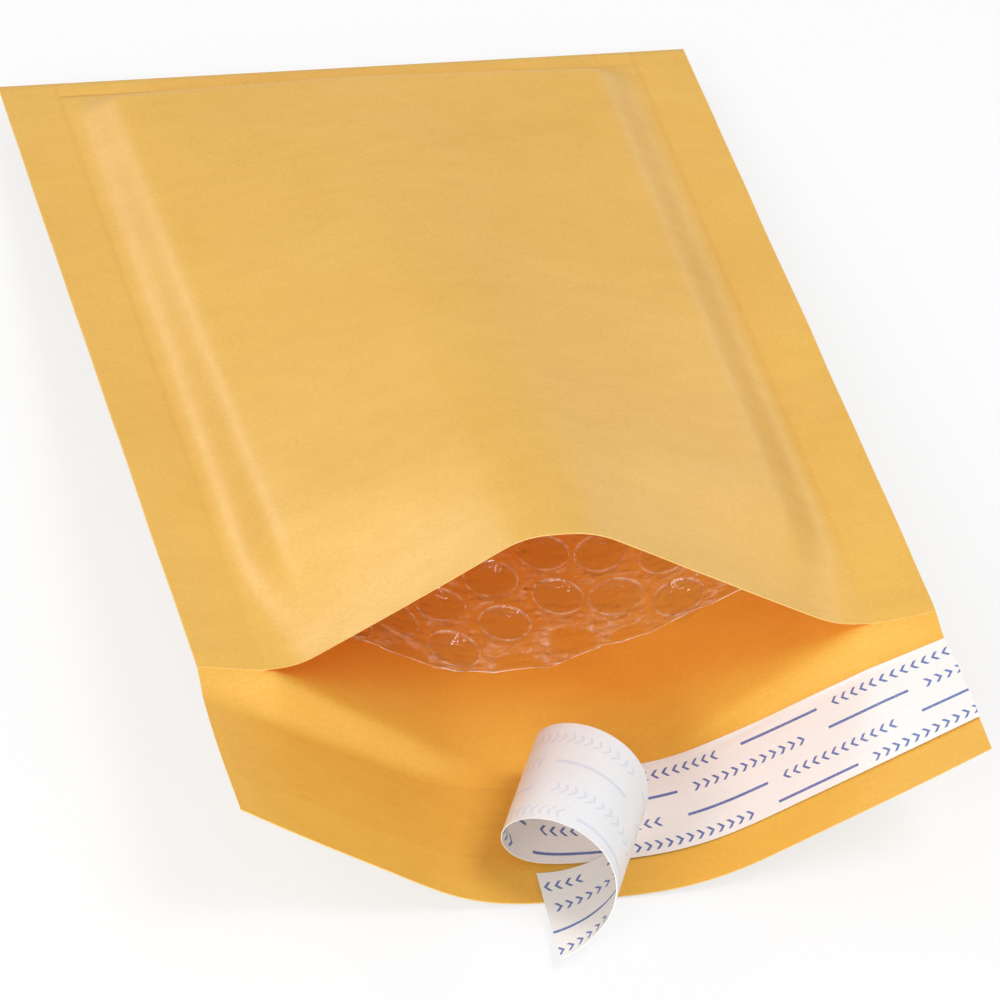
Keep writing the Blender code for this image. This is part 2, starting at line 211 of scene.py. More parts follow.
# Lamps: name, place, the point each is aimed at, width and height, and power in watts
LAMPS = (("overhead", (0.46, -0.36, 1.0), (0.0, 0.0, 0.0), (0.45, 0.45), 4.6),
         ("back_left", (-0.54, 0.90, 0.58), (0.0, 0.02, 0.0), (0.35, 0.30), 2.4),
         ("back_right", (0.80, 1.00, 0.42), (0.0, 0.02, 0.0), (0.30, 0.25), 0.8),
         ("front_fill", (-0.76, -0.90, 0.54), (0.0, -0.02, 0.0), (0.7, 0.4), 6.6),
         ("glint", (-0.26, -1.02, 0.66), (0.0, -0.05, 0.0), (0.15, 0.15), 1.3))

PANEL_HALF = WIDTH / 2 - SIDE_SEAM


def ease(x):
    """Smooth step from 0 to 1."""
    x = np.clip(x, 0.0, 1.0)
    return x * x * (3.0 - 2.0 * x)


def bump(x, width):
    """1 where x is 0, falling to 0 over about one width."""
    return np.exp(-(x / width) ** 2)


def ridge(flat, crown, foot, shift=0.0):
    """Cross profile, 1 on the centre line and 0 at both edges, as a function of -1 to 1."""
    reach = np.linspace(0.0, 1.0, PROFILE_STEPS)
    slope = ease((reach - flat) / crown)
    if foot > 0:
        slope = slope * ease((1.0 - reach) / foot)
    fall = np.concatenate([[0.0], np.cumsum((slope[1:] + slope[:-1]) / 2)])
    fall = fall / fall[-1]

    def profile(t):
        t = np.asarray(t, dtype=float)
        side = np.where(t < shift, (shift - t) / (1 + shift), (t - shift) / (1 - shift))
        return 1.0 - np.interp(side, reach, fall)
    return profile


def pad(u):
    """Share of the padding's height at u across the pouch."""
    return ease((PANEL_HALF - np.abs(u)) / PAD_RUN)


open_front = ridge(0.0, FRONT_CROWN, FOOT_WIDTH / PANEL_HALF, CROWN_SHIFT)
open_back = ridge(REST_HALF_WIDTH / PANEL_HALF, BACK_CROWN, BACK_FOOT)
open_flap = ridge(FLAP_LEVEL, FLAP_CROWN, 0.0, FLAP_CROWN_SHIFT)


def seam_height(v):
    """Height of the side seams at v from the closed end."""
    mouth = SEAM_REST + SEAM_RISE
    past = np.clip((v - LENGTH) / FLAP, 0.0, 1.0)
    return SEAM_REST + SEAM_RISE * min(v / LENGTH, 1.0) + (FLAP_EDGE_HEIGHT - mouth) * past


def end_share(v):
    """0 along the pressed end seam, 1 past the run where the pouch fills out."""
    return ease((v - END_SEAM) / END_RUN)


def pad_height(v):
    """Height of the padding at v."""
    fade = 1.0 - ease((v - (LENGTH - PAD_FADE)) / PAD_FADE)
    return PAD_HEIGHT * fade * end_share(v)


def strip_rise(u, v):
    """Rise of the seam strips towards their outer edges."""
    tilt = SEAM_TILT * min(v / LENGTH, 1.0)
    return np.maximum(np.abs(u) - PANEL_HALF, 0.0) * math.sin(tilt)


def front_height(u, v):
    """Inner face of the front panel above the table."""
    opening = MOUTH_HEIGHT * (v / LENGTH) * end_share(v) - pad_height(v) * (v / LENGTH)
    rise = pad_height(v) * pad(u) + max(opening, 0.0) * open_front(u / PANEL_HALF)
    return seam_height(v) + strip_rise(u, v) + PLY + rise


def pouch_back_height(u, v):
    """Outer face of the back panel above the table, within the pouch."""
    depth = seam_height(v) * end_share(v)
    padding = min(pad_height(v), depth)
    inside = np.abs(u) <= PANEL_HALF
    drop = padding * pad(u) + (depth - padding) * open_back(u / PANEL_HALF)
    return seam_height(v) + strip_rise(u, v) - np.where(inside, drop, 0.0)


def back_height(u, v):
    """Outer face of the back panel and the flap above the table."""
    u = np.asarray(u, dtype=float)
    if v <= LENGTH:
        return pouch_back_height(u, v)
    past = ease((v - LENGTH) / FLAP_SETTLE)
    lift = FLAP_LIFT * (v - LENGTH) / FLAP
    at_edge = seam_height(v) - (seam_height(v) - lift) * open_flap(u / (WIDTH / 2))
    return (1 - past) * pouch_back_height(u, LENGTH) + past * at_edge


def arc_positions(heights, half):
    """Places across the table of points that lie evenly spaced along a bent sheet."""
    step = 2 * half / (len(heights) - 1)
    run = np.sqrt(np.maximum(step * step - np.diff(heights) ** 2, 0.0))
    places = np.concatenate([[0.0], np.cumsum(run)])
    return places - places[-1] / 2


def mouth_half_chord():
    """Half the width between the seams at the mouth, drawn in by the raised front panel."""
    u = np.linspace(-PANEL_HALF, PANEL_HALF, PROFILE_STEPS)
    return arc_positions(front_height(u, LENGTH), PANEL_HALF)[-1]


MOUTH_HALF_CHORD = mouth_half_chord()


def half_chord(v):
    """Half the width between the side seams at v."""
    return PANEL_HALF + (MOUTH_HALF_CHORD - PANEL_HALF) * min(v / LENGTH, 1.0)


def across(u, v, height, half, chord):
    """Place across the table of flat position u, with the sheet's own length kept."""
    sample = np.linspace(-half, half, PROFILE_STEPS)
    places = arc_positions(height(sample, v), half)
    if chord is not None:
        places = places * (chord / places[-1])
    return np.interp(u, sample, places)


def along(u, v, height):
    """Place along the table of flat position v; a line that climbs is drawn back."""
    climb = height(u, v) - SEAM_REST
    return END_Y - np.sqrt(np.maximum(v * v - climb ** 2, 0.0))


def strip_across(u, v, height):
    """Place across the table within the pouch: seam strips stay flat outside the chord."""
    inner = across(np.clip(u, -PANEL_HALF, PANEL_HALF), v, height, PANEL_HALF, half_chord(v))
    outside = np.maximum(np.abs(u) - PANEL_HALF, 0.0)
    return inner + np.sign(u) * outside * math.cos(SEAM_TILT * min(v / LENGTH, 1.0))


def uneven(u, v, size, seed):
    """Slow unevenness over the sheet, about -1 to 1, as large as size."""
    return np.array([noise.noise(Vector((a / size, v / size, seed))) for a in u])


def seam_sway(u, v):
    """The bonded strips are a little wavy where nothing presses them."""
    free = ease((np.abs(u) - PANEL_HALF + 0.004) / 0.010) * ease(v / 0.03)
    side = np.where(u < 0, 3.0, 11.0)
    wave = np.array([noise.noise(Vector((v / 0.034, s, 0.0))) for s in side])
    return SEAM_SWAY * free * wave * (1 - 0.6 * ease((v - LENGTH) / 0.02))


def front_swell(u, v):
    """What the front panel departs from its smooth shape: pressed lines and soft dents."""
    seam = bump(np.abs(u) - PANEL_HALF - 0.0004, 0.0007) * ease((v - END_SEAM) / 0.004)
    end = bump(v - END_SEAM + 0.0006, 0.0009) * (np.abs(u) < PANEL_HALF + 0.001)
    inside = ease((PANEL_HALF - np.abs(u)) / DENT_FADE) * ease((v - END_SEAM) / DENT_FADE)
    dents = DENT * uneven(u, v, 0.031, 2.0) + FINE_DENT * uneven(u, v, 0.0105, 6.0)
    end_depth = END_PRESS * (1.0 - 0.35 * (u / PANEL_HALF + 1))
    return inside * dents - SEAM_PRESS * seam - end_depth * end + seam_sway(u, v)


def back_swell(u, v):
    """What the back panel and flap depart from their smooth shape."""
    lifted = ease((back_height(u, v) - 0.0006) / 0.004)
    dents = BACK_DENT * uneven(u, v, 0.027, 9.0) * ease((v - END_SEAM) / DENT_FADE)
    inside = ease((WIDTH / 2 - np.abs(u)) / DENT_FADE)
    past = ease((v - LENGTH) / 0.006)
    w = v - LENGTH
    waves = np.sin((w + 0.16 * (u - 0.034)) * 2 * math.pi / WRINKLE_PITCH)
    share = bump(u - WRINKLED[0], WRINKLED_REACH[0]) * bump(w - WRINKLED[1], WRINKLED_REACH[1])
    return lifted * inside * (dents + WRINKLE * past * waves * share) + seam_sway(u, v)


def front_point(u, v):
    """Point on the inner face of the front panel, where its lining rests."""
    u = np.atleast_1d(np.asarray(u, dtype=float))
    x = strip_across(u, v, front_height)
    return np.stack([x, along(u, v, front_height), front_height(u, v)], axis=1)


def back_point(u, v):
    """Point on the outer face of the back panel or the flap."""
    u = np.atleast_1d(np.asarray(u, dtype=float))
    x = strip_across(u, min(v, LENGTH), pouch_back_height)
    if v > LENGTH:
        past = ease((v - LENGTH) / FLAP)
        x_edge = across(u, v, back_height, WIDTH / 2, None)
        x = (1 - past) * x + past * x_edge
    return np.stack([x, along(u, v, back_height), back_height(u, v)], axis=1)


def raised(points, rise):
    """Points moved up by a height, one for all or one for each."""
    made = np.array(points, dtype=float)
    made[..., 2] += rise
    return made


def front_top(u, v):
    """Upper face of the front panel; at the mouth its seam strips are pressed thin."""
    u = np.atleast_1d(u)
    bonded = ease((np.abs(u) - PANEL_HALF) / 0.003) * ease((v - LENGTH + 0.004) / 0.004)
    return raised(front_point(u, v), PLY * (1 - 0.75 * bonded) + front_swell(u, v))


def back_bottom(u, v):
    """Lower face of the back panel and flap."""
    return raised(back_point(u, v), back_swell(np.atleast_1d(u), v))


def back_top(u, v):
    """Upper face of the back panel and flap."""
    return raised(back_bottom(u, v), PAPER)


# Meshes


def map_layers(bm):
    return bm.loops.layers.uv.new("sheet_map"), bm.verts.layers.float_vector.new("flat")


def complete(bm, map_layer, flat_layer):
    """Give every face corner the flat place of its vertex, and turn all faces outwards."""
    for face in bm.faces:
        for loop in face.loops:
            loop[map_layer].uv = loop.vert[flat_layer].xy
    bmesh.ops.recalc_face_normals(bm, faces=bm.faces)


def vertex_row(bm, points, flat_layer, us, v):
    """Vertices at the points; us and v are their places on the flat sheet."""
    made = []
    for point, u in zip(points, us):
        vertex = bm.verts.new(point)
        vertex[flat_layer] = ((u + MAP_MIDDLE) / MAP_SPAN, v / MAP_SPAN, 0.0)
        made.append(vertex)
    return made


def loft(bm, rows, material_index=0):
    """Faces between rows of vertices that run side by side."""
    for low, high in zip(rows[:-1], rows[1:]):
        for i in range(len(low) - 1):
            corners = [low[i], low[i + 1], high[i + 1], high[i]]
            distinct = list(dict.fromkeys(corners))
            if len(distinct) > 2:
                bm.faces.new(distinct).material_index = material_index


def mesh_from(name, bm):
    """The mesh that was built, with smooth faces."""
    mesh = bpy.data.meshes.new(name)
    bm.to_mesh(mesh)
    bm.free()
    mesh.shade_smooth()
    return mesh


def put_in_scene(name, data):
    """A new object of the data, in the scene."""
    made = bpy.data.objects.new(name, data)
    bpy.context.scene.collection.objects.link(made)
    return made


def place(mesh, materials, sharp_angle, replaced):
    """Show the mesh as a piece where the frame stands, in place of its part of the frame."""
    mesh.set_sharp_from_angle(angle=sharp_angle)
    for finish in materials:
        mesh.materials.append(finish)
    piece = put_in_scene(mesh.name, mesh)
    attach(piece, "root")
    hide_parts(replaced)


# Node helpers


def feed(tree, fed, inputs):
    """Give a node its inputs, each a value or another node's output."""
    for key, value in inputs.items():
        socket = fed.inputs[key]
        if isinstance(value, bpy.types.NodeSocket):
            tree.links.new(value, socket)
        else:
            socket.default_value = value


def node(tree, kind, inputs=None, **settings):
    """A node with its settings and its inputs."""
    made = tree.nodes.new(kind)
    for name, value in settings.items():
        setattr(made, name, value)
    feed(tree, made, inputs or {})
    return made


def calc(tree, operation, a, b=0.0, clamp=False):
    inputs = {0: a, 1: b}
    return node(tree, "ShaderNodeMath", inputs, operation=operation, use_clamp=clamp).outputs[0]


def times(tree, a, b, clamp=False):
    return calc(tree, "MULTIPLY", a, b, clamp)


def apart(tree, a, b):
    """How far two values lie from each other."""
    return calc(tree, "ABSOLUTE", calc(tree, "SUBTRACT", a, b))


def remap(tree, value, low, high, to_low=0.0, to_high=1.0, smooth=False):
    inputs = {"Value": value, "From Min": low, "From Max": high,
              "To Min": to_low, "To Max": to_high}
    kind = "SMOOTHSTEP" if smooth else "LINEAR"
    return node(tree, "ShaderNodeMapRange", inputs, interpolation_type=kind).outputs[0]


def blended(tree, share, first, second):
    """One colour turning into another by the share."""
    inputs = {0: share, 6: first, 7: second}
    return node(tree, "ShaderNodeMix", inputs, data_type="RGBA").outputs[2]


def relief(tree, height, strength, distance):
    """The normal of a surface with fine relief."""
    inputs = {"Height": height, "Strength": strength, "Distance": distance}
    return node(tree, "ShaderNodeBump", inputs).outputs[0]


def grain(tree, place_socket, stretch, detail=4.0, roughness=0.6):
    """Noise over a place in millimetres, stretched by a size in each direction."""
    scale = [1.0 / size for size in stretch]
    mapped = node(tree, "ShaderNodeMapping", {"Vector": place_socket, "Scale": scale})
    inputs = {"Vector": mapped.outputs[0], "Scale": 1.0, "Detail": detail,
              "Roughness": roughness}
    return node(tree, "ShaderNodeTexNoise", inputs).outputs[0]


def shader_group(name, inputs, outputs):
    """An empty group with a place and numbers as its inputs, and its two end nodes."""
    tree = bpy.data.node_groups.new(name, "ShaderNodeTree")
    tree.interface.new_socket("Place", in_out="INPUT", socket_type="NodeSocketVector")
    for way, labels in (("INPUT", inputs), ("OUTPUT", outputs)):
        for label in labels:
            tree.interface.new_socket(label, in_out=way, socket_type="NodeSocketFloat")
    return tree, tree.nodes.new("NodeGroupInput"), tree.nodes.new("NodeGroupOutput")


def paper_fibres_group():
    """Fibres of a paper: a tone from 0 to 1 that is dark along fibres, and their height."""
    tree, entry, out = shader_group("paper_fibres", ["Fibre Length"],
                                    ["Tone", "Flecks", "Height"])
    length = entry.outputs["Fibre Length"]
    longer = node(tree, "ShaderNodeCombineXYZ",
                  {0: calc(tree, "DIVIDE", 1.0, length), 1: 1.0, 2: 1.0}).outputs[0]
    stretched = node(tree, "ShaderNodeVectorMath", {0: entry.outputs["Place"], 1: longer},
                     operation="MULTIPLY").outputs[0]
    strands = grain(tree, stretched, (0.62, 0.56, 0.62), 4.0, 0.72)
    fine = grain(tree, stretched, (0.26, 0.22, 0.26), 2.0, 0.6)
    clouds = grain(tree, entry.outputs["Place"], (9.0, 5.0, 9.0), 3.0, 0.55)
    tone = calc(tree, "ADD", times(tree, strands, 0.5), times(tree, fine, 0.3))
    tone = calc(tree, "ADD", tone, times(tree, clouds, 0.2))
    flecks = grain(tree, stretched, (0.30, 0.24, 0.30), 2.0, 0.5)
    height = calc(tree, "ADD", times(tree, strands, 0.6), times(tree, fine, 0.4))
    feed(tree, out, {"Tone": remap(tree, tone, 0.39, 0.61), "Height": height,
                     "Flecks": remap(tree, flecks, 0.66, 0.76, smooth=True)})
    return tree


def painted_crease_shade_group():
    """Painted shade along the creases where the padding ends on the front panel, darkest at the
    far left corner.
    """
    tree, entry, out = shader_group("pressed_lines", [], ["Crease"])
    parts = node(tree, "ShaderNodeSeparateXYZ", {0: entry.outputs["Place"]})
    side = calc(tree, "SUBTRACT", parts.outputs[0], MAP_MIDDLE * 1000)
    wavy = grain(tree, entry.outputs["Place"], (14.0, 9.0, 14.0), 2.0, 0.5)
    wavy = times(tree, calc(tree, "SUBTRACT", wavy, 0.5), 0.9)
    half = PANEL_HALF * 1000
    from_end = calc(tree, "ADD", parts.outputs[1], END_SEAM * 1000 - 0.1)
    from_end = calc(tree, "ABSOLUTE", calc(tree, "ADD", from_end, wavy))
    end = remap(tree, from_end, 0.15, 0.75, 1.0, 0.0, smooth=True)
    end = times(tree, end, remap(tree, side, -half, half, 0.50, 0.10))
    end = times(tree, end, calc(tree, "LESS_THAN", calc(tree, "ABSOLUTE", side), half))
    from_seam = calc(tree, "SUBTRACT", calc(tree, "ABSOLUTE", side), half + 0.4)
    from_seam = calc(tree, "ABSOLUTE", calc(tree, "ADD", from_seam, wavy))
    seam = remap(tree, from_seam, 0.1, 0.9, 0.13, 0.0, smooth=True)
    seam = times(tree, seam, remap(tree, parts.outputs[1], -150.0, -225.0, 1.0, 0.0))
    # Painted shade along the end crease and the side seams' creases
    crease = calc(tree, "MAXIMUM", end, seam)
    front = calc(tree, "LESS_THAN", parts.outputs[1], 0.0)
    feed(tree, out, {"Crease": times(tree, crease, front, clamp=True)})
    return tree


def liner_marks_group():
    """Rows of chevrons and bars that point the way to peel, as a mask on the liner."""
    tree, entry, out = shader_group("liner_marks", [], ["Ink"])
    parts = node(tree, "ShaderNodeSeparateXYZ", {0: entry.outputs["Place"]})
    ink = None
    for number, middle in enumerate(MARK_ROWS):
        turned = -1.0 if number % 2 else 1.0
        shift = calc(tree, "ADD", parts.outputs[0], number * 17.0)
        off = apart(tree, parts.outputs[1], middle)
        cell = calc(tree, "SUBTRACT", calc(tree, "FLOORED_MODULO", shift, MARK_PITCH),
                    MARK_PITCH / 2)
        arm = calc(tree, "ADD", cell, times(tree, off, 0.72 * turned))
        chevron = calc(tree, "LESS_THAN", apart(tree, arm, 0.45 * turned), MARK_STROKE / 2)
        bar = calc(tree, "LESS_THAN", off, MARK_STROKE * 0.6)
        run = calc(tree, "FLOORED_MODULO", shift, MARK_RUN)
        with_chevrons = calc(tree, "LESS_THAN", run, MARK_RUN * 0.50)
        with_bar = times(tree, calc(tree, "GREATER_THAN", run, MARK_RUN * 0.56),
                        calc(tree, "LESS_THAN", run, MARK_RUN * 0.90))
        low = calc(tree, "LESS_THAN", off, MARK_HEIGHT / 2)
        chevron = times(tree, times(tree, chevron, low), with_chevrons)
        row = calc(tree, "MAXIMUM", chevron, times(tree, bar, with_bar))
        ink = row if ink is None else calc(tree, "MAXIMUM", ink, row)
    worn = grain(tree, entry.outputs["Place"], (0.35, 0.35, 0.35), 3.0, 0.6)
    ink = times(tree, ink, remap(tree, worn, 0.25, 0.5, 0.62, 1.0))
    feed(tree, out, {"Ink": ink})
    return tree


def surface(name):
    """A material with its shader, its output and its tree."""
    made = bpy.data.materials.new(name)
    made.use_nodes = True
    tree = made.node_tree
    return made, tree, tree.nodes["Principled BSDF"], tree.nodes["Material Output"]


def pass_lamps(tree, out, looks, tint):
    """Show the looks, and let light from the lamps through, tinted."""
    through = node(tree, "ShaderNodeBsdfTransparent", {"Color": tint}).outputs[0]
    rays = node(tree, "ShaderNodeLightPath")
    whole = node(tree, "ShaderNodeMixShader", {0: rays.outputs["Is Shadow Ray"],
                                               1: looks, 2: through})
    feed(tree, out, {"Surface": whole.outputs[0]})


def sheet_place(tree):
    """Place on the flat sheet in millimetres."""
    coordinates = node(tree, "ShaderNodeTexCoord")
    scale = (MAP_SPAN * 1000,) * 3
    mapped = node(tree, "ShaderNodeMapping", {"Vector": coordinates.outputs["UV"],
                                              "Scale": scale})
    return mapped.outputs[0]


def kraft_paper(fibres, pressed_lines, name, light, dark, roughness):
    """Machine-glazed brown paper with its fibres along the web."""
    made, tree, shader, out = surface(name)
    place_socket = sheet_place(tree)
    paper = node(tree, "ShaderNodeGroup", {"Place": place_socket, "Fibre Length": 1.7},
                 node_tree=fibres)
    drift = grain(tree, place_socket, (46.0, 38.0, 46.0), 2.0, 0.5)
    tone = calc(tree, "ADD", times(tree, paper.outputs["Tone"], 0.72),
                times(tree, remap(tree, drift, 0.32, 0.68), 0.28))
    colour = blended(tree, tone, dark, light)
    flecks = times(tree, paper.outputs["Flecks"], 0.28)
    colour = blended(tree, flecks, colour, KRAFT_FLECK)
    # Painted shade darkens the paper along the creases at the padding's edges
    crease_shade = node(tree, "ShaderNodeGroup", {"Place": place_socket}, node_tree=pressed_lines)
    colour = blended(tree, crease_shade.outputs[0], colour, KRAFT_CREASE_SHADE)
    rough = remap(tree, paper.outputs["Tone"], 0.0, 1.0, roughness + 0.05, roughness - 0.04)
    feed(tree, shader, {"Base Color": colour, "Roughness": rough, "Specular IOR Level": 0.55,
                        "Normal": relief(tree, paper.outputs["Height"], 0.3, 0.00012)})

    # The front panel, on the near side of the map, lets some of the lamps' light through
    along_sheet = node(tree, "ShaderNodeSeparateXYZ", {0: place_socket}).outputs[1]
    front = calc(tree, "LESS_THAN", along_sheet, 0.0)
    glow = blended(tree, front, (0.0, 0.0, 0.0, 1.0), KRAFT_GLOW)
    pass_lamps(tree, out, shader.outputs[0], glow)
    return made


def clear_film():
    """Polyethylene film: clear, glossy, milky only where it is welded, creased or cut."""
    made, tree, shader, out = surface("clear_film")
    coordinates = node(tree, "ShaderNodeTexCoord")
    place_socket = node(tree, "ShaderNodeMapping", {"Vector": coordinates.outputs["Object"],
                                                    "Scale": (1000.0,) * 3}).outputs[0]
    creases = grain(tree, place_socket, (2.6, 1.5, 2.6), 4.0, 0.6)
    streaks = remap(tree, apart(tree, creases, 0.5), 0.0, 0.035, 1.0, 0.0, smooth=True)
    weld = node(tree, "ShaderNodeAttribute", attribute_name="weld").outputs["Fac"]
    patches = grain(tree, place_socket, (4.5, 3.5, 4.5), 1.0, 0.5)
    rim = times(tree, calc(tree, "POWER", weld, 2.0),
                remap(tree, patches, 0.40, 0.60, 0.14, 0.85))
    milk = calc(tree, "ADD", rim, times(tree, times(tree, weld, streaks), 0.50))
    milk = calc(tree, "ADD", milk, 0.006, clamp=True)
    folds = grain(tree, place_socket, (2.8, 1.7, 2.8), 0.6, 0.5)
    wrinkled = relief(tree, folds, remap(tree, weld, 0.0, 0.3, 0.7, 1.0), 0.0014)
    feed(tree, shader, {"Base Color": (0.96, 0.95, 0.94, 1.0), "Roughness": 0.22,
                        "Normal": wrinkled})
    clear = node(tree, "ShaderNodeBsdfTransparent", {"Color": (0.998, 0.994, 0.990, 1.0)})
    body = node(tree, "ShaderNodeMixShader", {0: milk, 1: clear.outputs[0],
                                              2: shader.outputs[0]})
    gloss = node(tree, "ShaderNodeBsdfGlossy", {"Color": (1, 1, 1, 1), "Roughness": 0.06,
                                                "Normal": wrinkled})
    facing = node(tree, "ShaderNodeLayerWeight", {"Blend": 0.5, "Normal": wrinkled})
    grazing = calc(tree, "POWER", facing.outputs["Facing"], 4.0)
    mirror = remap(tree, grazing, 0.0, 1.0, 0.045, 0.36)
    whole = node(tree, "ShaderNodeMixShader", {0: mirror, 1: body.outputs[0],
                                               2: gloss.outputs[0]})
    pass_lamps(tree, out, whole.outputs[0], (0.985, 0.975, 0.965, 1.0))
    return made


def clear_adhesive():
    """A thin bead of clear pressure adhesive, glossy and slightly uneven."""
    made, tree, shader, _ = surface("adhesive")
    place_socket = sheet_place(tree)
    pooled = grain(tree, place_socket, (7.0, 2.2, 7.0), 3.0, 0.55)
    feed(tree, shader, {"Base Color": (0.90, 0.52, 0.10, 1.0), "Roughness": 0.3,
                        "Alpha": remap(tree, pooled, 0.3, 0.7, 0.02, 0.05),
                        "Specular IOR Level": 0.5, "Normal": relief(tree, pooled, 0.5, 0.0005)})
    return made


def liner_paper(fibres, marks, name, ink, strength, base):
    """White coated release paper, with its marks in one ink."""
    made, tree, shader, _ = surface(name)
    place_socket = sheet_place(tree)
    paper = node(tree, "ShaderNodeGroup", {"Place": place_socket, "Fibre Length": 1.6},
                 node_tree=fibres)
    darker = tuple(0.94 * channel for channel in base[:3]) + (1.0,)
    colour = blended(tree, paper.outputs["Tone"], darker, base)
    printed = node(tree, "ShaderNodeGroup", {"Place": place_socket}, node_tree=marks)
    share = times(tree, printed.outputs["Ink"], strength)
    feed(tree, shader, {"Base Color": blended(tree, share, colour, ink),
                        "Roughness": remap(tree, paper.outputs["Tone"], 0.0, 1.0, 0.42, 0.34),
                        "Normal": relief(tree, paper.outputs["Height"], 0.1, 0.0001)})
    return made


# The kraft sheet


def sheet_columns():
    """Flat places across the sheet: both seam strips and the panel between them."""
    spread = np.sin(np.linspace(-1, 1, PANEL_COLUMNS + 1) * COLUMN_SPREAD)
    panel = spread / spread[-1] * PANEL_HALF
    strip = PANEL_HALF + SIDE_SEAM * np.linspace(0, 1, STRIP_COLUMNS + 1)[1:] ** 1.3
    return np.concatenate([-strip[::-1], panel, strip])


def sheet_rows():
    """Flat places along the pouch and along the flap, closer at folds and creases."""
    end = np.array([0.0006, 0.0024, 0.0042, 0.0050, 0.0056, 0.0061, END_SEAM])
    fill = END_SEAM + END_RUN * np.linspace(0, 1, 15)[1:]
    start = END_SEAM + END_RUN
    rest = np.linspace(start, LENGTH, int((LENGTH - start) / POUCH_STEP))[1:]
    pouch = np.concatenate([end, fill, rest])
    beyond = LENGTH + np.linspace(0, FLAP, int(FLAP / FLAP_STEP))[1:]
    return pouch, beyond


def kraft_sheet(materials):
    """One folded sheet: front panel, back panel and flap, bonded down both sides."""
    bm = bmesh.new()
    layers = map_layers(bm)
    sheet = sheet_columns()
    first = STRIP_COLUMNS
    last = len(sheet) - 1 - STRIP_COLUMNS
    inside = sheet[first:last + 1]
    pouch, beyond = sheet_rows()
    end_row = int(np.argmin(np.abs(pouch - END_SEAM)))

    def row(points, us, v):
        return vertex_row(bm, points, layers[1], us, v)

    outer_front = [row(front_top(sheet, v), sheet, -v) for v in pouch]
    outer_back = [row(back_bottom(sheet, v), sheet, v) for v in [*pouch, *beyond]]
    inner_back = [row(back_top(inside, v), inside, v) for v in pouch[end_row:]]
    inner_front = []
    for k, v in enumerate(pouch[end_row:]):
        shared = inner_back[k]
        if k == 0:
            inner_front.append(shared)
            continue
        under = raised(front_top(inside[1:-1], v), -PAPER)
        made = row(under, inside[1:-1], -v)
        inner_front.append([shared[0], *made, shared[-1]])
    mouth_left, mouth_right = [row(raised(back_bottom(us, LENGTH), PLY), us, LENGTH)
                               for us in (sheet[:first], sheet[last + 1:])]
    mouth_sheet = [*mouth_left, *inner_back[-1], *mouth_right]
    flap_upper = [mouth_sheet] + [row(back_top(sheet, v), sheet, v) for v in beyond]
    mouth_lip = [*mouth_left, *inner_front[-1], *mouth_right]

    for rows in (outer_front, outer_back):
        loft(bm, rows)
    for rows in (inner_front, inner_back, flap_upper):
        loft(bm, rows, 2)
    loft(bm, [outer_front[-1], mouth_lip], 1)
    loft(bm, [flap_upper[-1], outer_back[-1]], 1)

    fold = []
    low, high = back_bottom(sheet, 0.0), front_top(sheet, 0.0)
    for angle in map(math.radians, (60.0, 20.0, -20.0, -60.0)):
        points = low + (high - low) * (0.5 + 0.5 * math.sin(angle))
        points[:, 1] = END_Y - FOLD_BULGE * (1 - math.cos(angle))
        fold.append(row(points, sheet, -FOLD_RUN * math.sin(angle)))
    loft(bm, [outer_front[0], *fold, outer_back[0]])

    mouth = len(pouch) - 1
    for side, sign in ((0, -1), (-1, 1)):
        front_edge = [line[side] for line in outer_front]
        back_edge = [line[side] for line in outer_back]
        upper_edge = [line[side] for line in flap_upper]
        notch = []
        for k in range(mouth):
            point = (front_edge[k].co + back_edge[k].co) / 2
            point.x -= sign * NOTCH
            notch += row([point], [sheet[side]], pouch[k])
        notch.append(upper_edge[0])
        loft(bm, [front_edge, notch, back_edge[:mouth + 1]], 1)
        rim = [front_edge[0], *[line[side] for line in fold], back_edge[0]]
        for one, other in zip(rim[:-1], rim[1:]):
            bm.faces.new([notch[0], one, other]).material_index = 1
        loft(bm, [upper_edge, back_edge[mouth:]], 1)
    complete(bm, *layers)
    place(mesh_from("kraft_sheet", bm), materials, SHEET_SHARP, "kraft_envelope")


# The bubble film


def back_face(u, v):
    return raised(back_point(u, v), PLY)


def inward(face, u, v, towards):
    """Unit normals of a panel's inner face, pointing into the pouch."""
    step = 0.0005
    side = face(u + step, v) - face(u - step, v)
    run = face(u, v + step) - face(u, v - step)
    normal = np.cross(side, run)
    normal = normal / np.linalg.norm(normal, axis=1)[:, None]
    return normal * (np.sign(normal[:, 2]) * towards)[:, None]


def press(u, v):
    """How far the bubbles keep their height where the pouch is low, 1 for all of it."""
    room = (front_height(u, v) - pouch_back_height(u, v) - PLY) / 2
    spare = room - LINING_CLEARANCE - GAP
    return np.minimum(1.0, spare / (BUBBLE_HEIGHT + FILM_ROOM))


def lining_line(face, towards, u, v, depth):
    """Points of the lining at a depth from the bubbles' tops, and the way into the pouch."""
    into = inward(face, u, v, towards)
    reach = LINING_CLEARANCE + depth * press(u, v)
    return face(u, v) + into * reach[:, None], into


def film_cut(us):
    """Distance of the film's cut from the closed end."""
    setback = CUT_SETBACK + CUT_SLANT * ease((us + 0.001) / 0.016)
    wander = np.array([noise.noise(Vector((u / 0.0055, 5.0, 0.0))) for u in us])
    return LENGTH - setback + CUT_WANDER * wander


